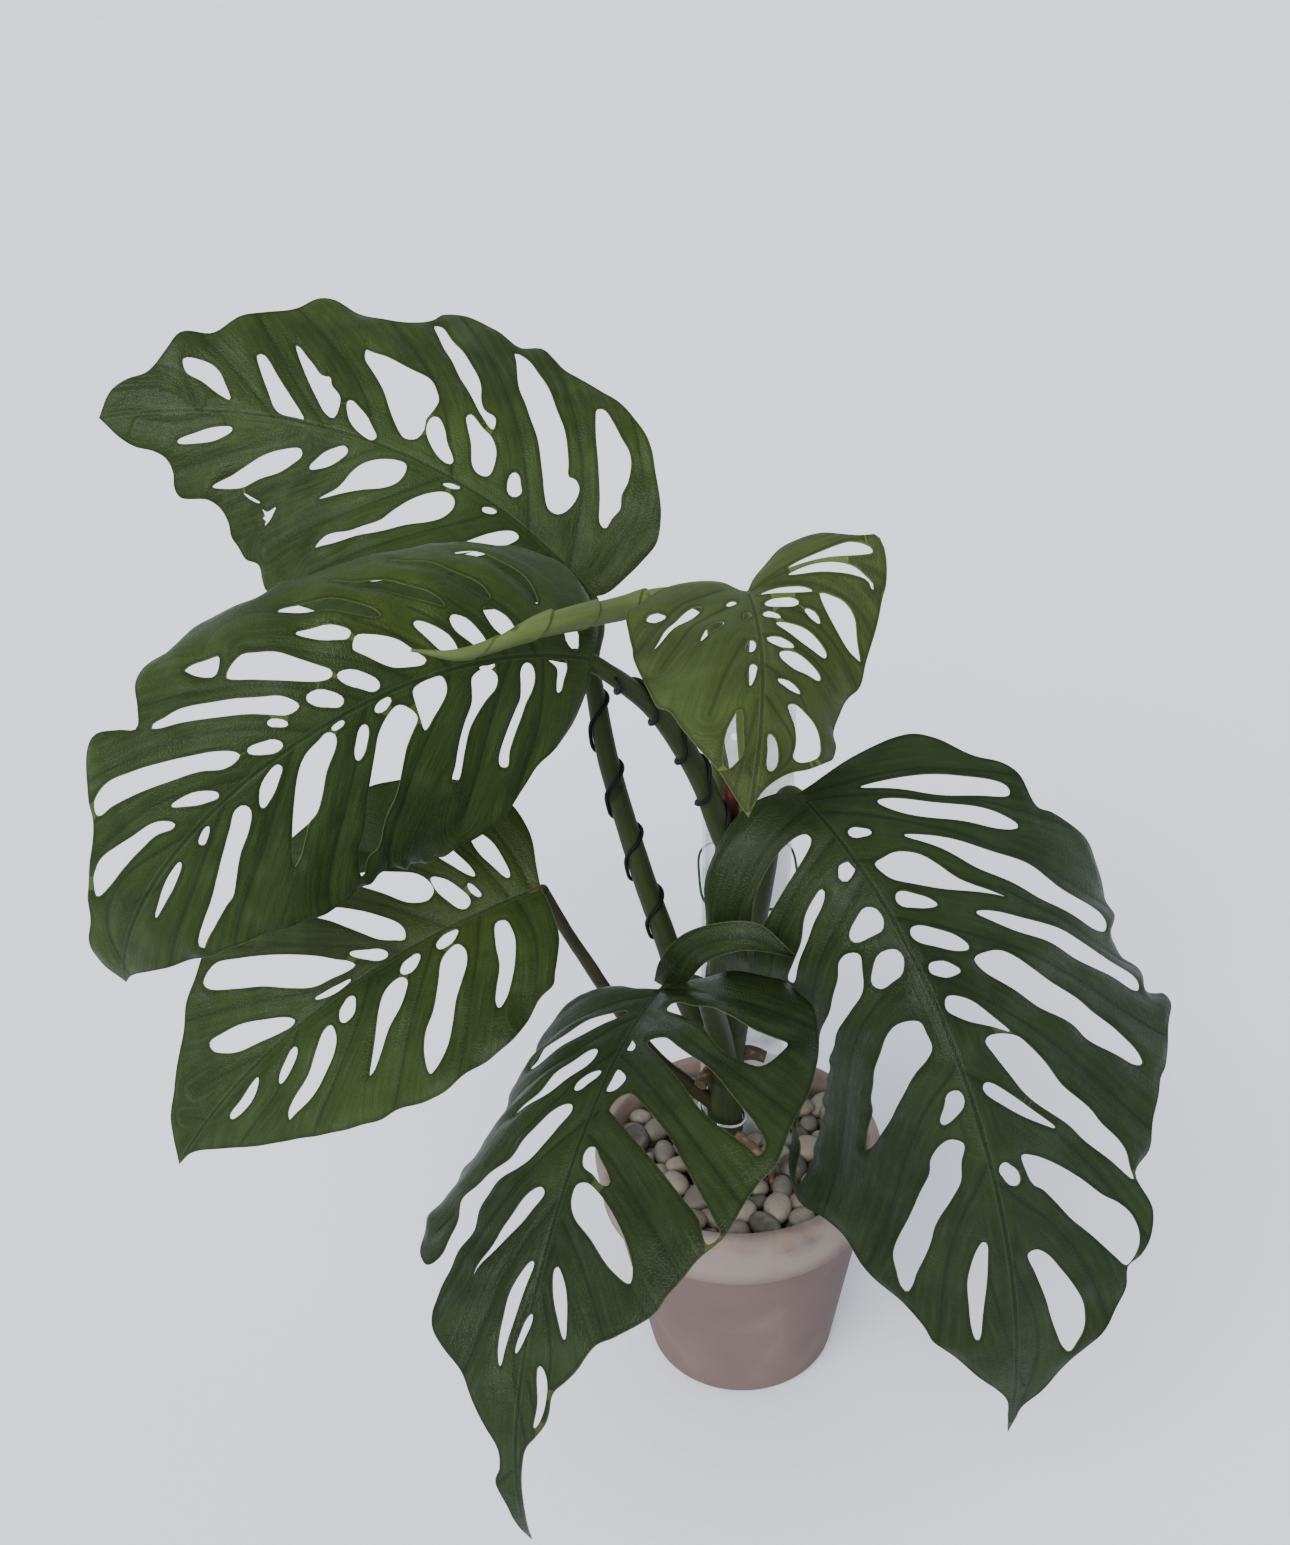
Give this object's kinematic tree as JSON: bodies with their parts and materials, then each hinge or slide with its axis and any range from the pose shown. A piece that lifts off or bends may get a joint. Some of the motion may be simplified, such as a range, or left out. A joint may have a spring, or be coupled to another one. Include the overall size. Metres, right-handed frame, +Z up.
{
  "type": "potted monstera acuminata",
  "caption": "Climbing aroid with large drooping leaves full of natural holes, on a clear stake in a terracotta pot topped with river pebbles.",
  "frame": {"origin": "centre of the underside of the pot, on the surface it stands on", "axes": "+Z up along the pot's axis, -Y towards the front of the plant, where its lowest leaves hang, +X to the right seen from the front"},
  "size_m": [0.4994, 0.4388, 0.5802],
  "materials": {
    "terracotta": "matte",
    "soil": "matte",
    "pebbles": "satin",
    "stake": "satin",
    "stem": "satin",
    "leaf": "satin",
    "young_leaf": "satin",
    "new_leaf": "satin",
    "dark_wire": "satin",
    "green_wire": "satin",
    "ring": "satin",
    "dry_sheath": "matte"
  },
  "bodies": {
    "root": {"pot": "terracotta", "soil": "soil", "pebbles": "pebbles", "stake": "stake", "stem": "stem", "leaf_upper_left": "leaf", "leaf_middle_left": "leaf", "leaf_lower_left": "leaf", "leaf_front": "leaf", "leaf_right": "leaf", "leaf_top": "young_leaf", "leaf_rolled": "new_leaf", "wire_upper": "dark_wire", "wire_middle": "dark_wire", "tie_wire": "green_wire", "clip_ring": "ring", "dried_sheath": "dry_sheath"}
  },
  "joints": []
}
